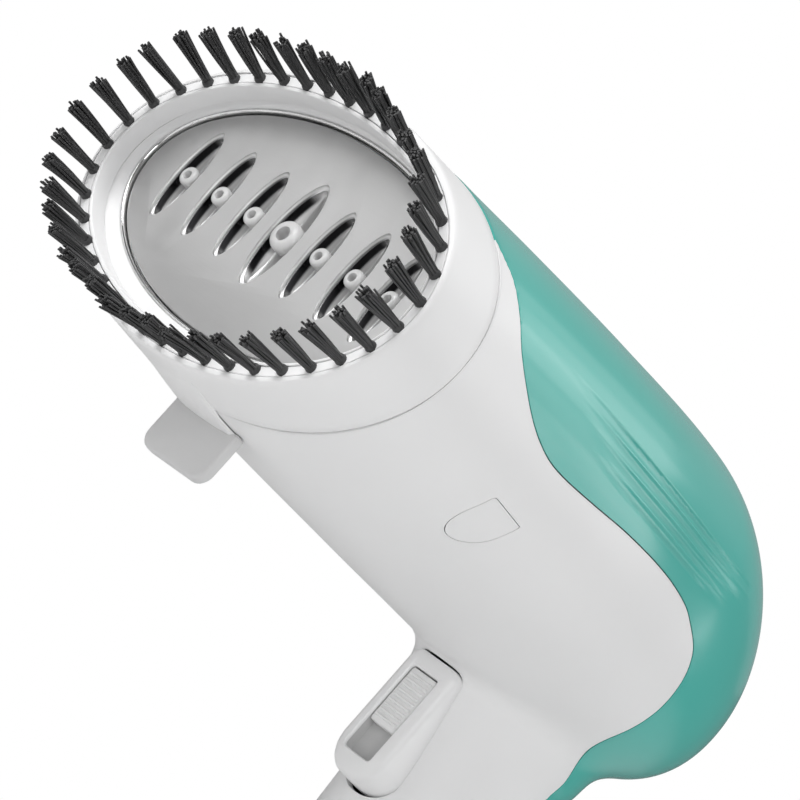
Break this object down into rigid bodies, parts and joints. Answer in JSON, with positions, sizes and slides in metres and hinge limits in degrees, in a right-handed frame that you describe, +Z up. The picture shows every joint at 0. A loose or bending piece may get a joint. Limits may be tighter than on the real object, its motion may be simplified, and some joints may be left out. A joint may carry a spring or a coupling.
{
  "type": "handheld garment steamer",
  "caption": "Handheld garment steamer with an oval steam head inside a pull-off bristle ring, a filler flap and a lockable trigger.",
  "frame": {"origin": "centre of the bounding box's bottom face, under the handle's base plane", "axes": "+Z up along the handle, -Y out of the steam face, +X to the right when looking at the back of the steamer; the filler flap is on the +X side"},
  "size_m": [0.11, 0.2124, 0.2058],
  "materials": {
    "board_green": "satin",
    "boiler_cast": "as cast",
    "bright_trim": "polished",
    "bristle_nylon": "matt black filaments",
    "brushed_plate": "brushed, satin",
    "cap_plastic": "satin",
    "flap_plastic": "satin",
    "frame_plastic": "satin",
    "fuse_ceramic": "satin",
    "gland_rubber": "satin",
    "heater_steel": "satin",
    "nose_plastic": "satin",
    "nozzle_silicone": "cloudy, translucent",
    "pump_body": "satin",
    "ring_plastic": "satin",
    "screw_steel": "satin",
    "seal_rubber": "satin",
    "slider_plastic": "satin",
    "spring_steel": "satin",
    "switch_black": "satin",
    "tank_clear": "satin",
    "teal_plastic": "glossy, moulded in colour",
    "trigger_plastic": "satin",
    "tube_silicone": "satin",
    "white_plastic": "satin gloss, moulded"
  },
  "bodies": {
    "housing": {"main_shell": "white_plastic", "rear_shell": "teal_plastic", "head_housing": "nose_plastic", "steam_plate": "brushed_plate", "plate_trim_ring": "bright_trim", "nozzle_1": "nozzle_silicone", "nozzle_2": "nozzle_silicone", "nozzle_3": "nozzle_silicone", "nozzle_4": "nozzle_silicone", "nozzle_5": "nozzle_silicone", "nozzle_6": "nozzle_silicone", "nozzle_7": "nozzle_silicone", "steam_gasket": "seal_rubber", "boiler": "boiler_cast", "boiler_screw_1": "screw_steel", "boiler_screw_2": "screw_steel", "boiler_screw_3": "screw_steel", "boiler_screw_4": "screw_steel", "heating_element": "heater_steel", "thermostat": "switch_black", "thermal_fuse": "fuse_ceramic", "water_tank": "tank_clear", "bulkhead": "frame_plastic", "pump": "pump_body", "feed_tube": "tube_silicone", "suction_tube": "tube_silicone", "trigger_pin": "screw_steel", "trigger_spring": "spring_steel", "microswitch": "switch_black", "circuit_board": "board_green", "board_capacitor": "pump_body", "board_relay": "frame_plastic", "handle_end_cap": "cap_plastic", "cord_gland": "gland_rubber"},
    "trigger": {"steam_trigger": "trigger_plastic"},
    "lock": {"trigger_lock": "slider_plastic"},
    "flap": {"filler_flap": "flap_plastic"},
    "brush": {"brush_ring": "ring_plastic", "bristle_tufts": "bristle_nylon"}
  },
  "joints": [
    {"name": "trigger_press", "type": "hinge", "parent": "housing", "child": "trigger", "pos_m": [0, 0.04489, 0.1215], "axis": [1, 0, 0], "range_deg": [0, 6], "stiffness_Nm_per_rad": 0.3, "springref_deg": -5.73, "deforming": ["trigger_spring"]},
    {"name": "lock_slide", "type": "slide", "parent": "trigger", "child": "lock", "axis": [0, 0, -1], "range_m": [0, 0.008]},
    {"name": "flap_open", "type": "hinge", "parent": "housing", "child": "flap", "pos_m": [0.05194, -0.03201, 0.1498], "axis": [0, -1, 0], "range_deg": [0, 100]},
    {"name": "brush_pull", "type": "slide", "parent": "housing", "child": "brush", "axis": [0, -1, 0], "range_m": [0, 0.03]}
  ]
}
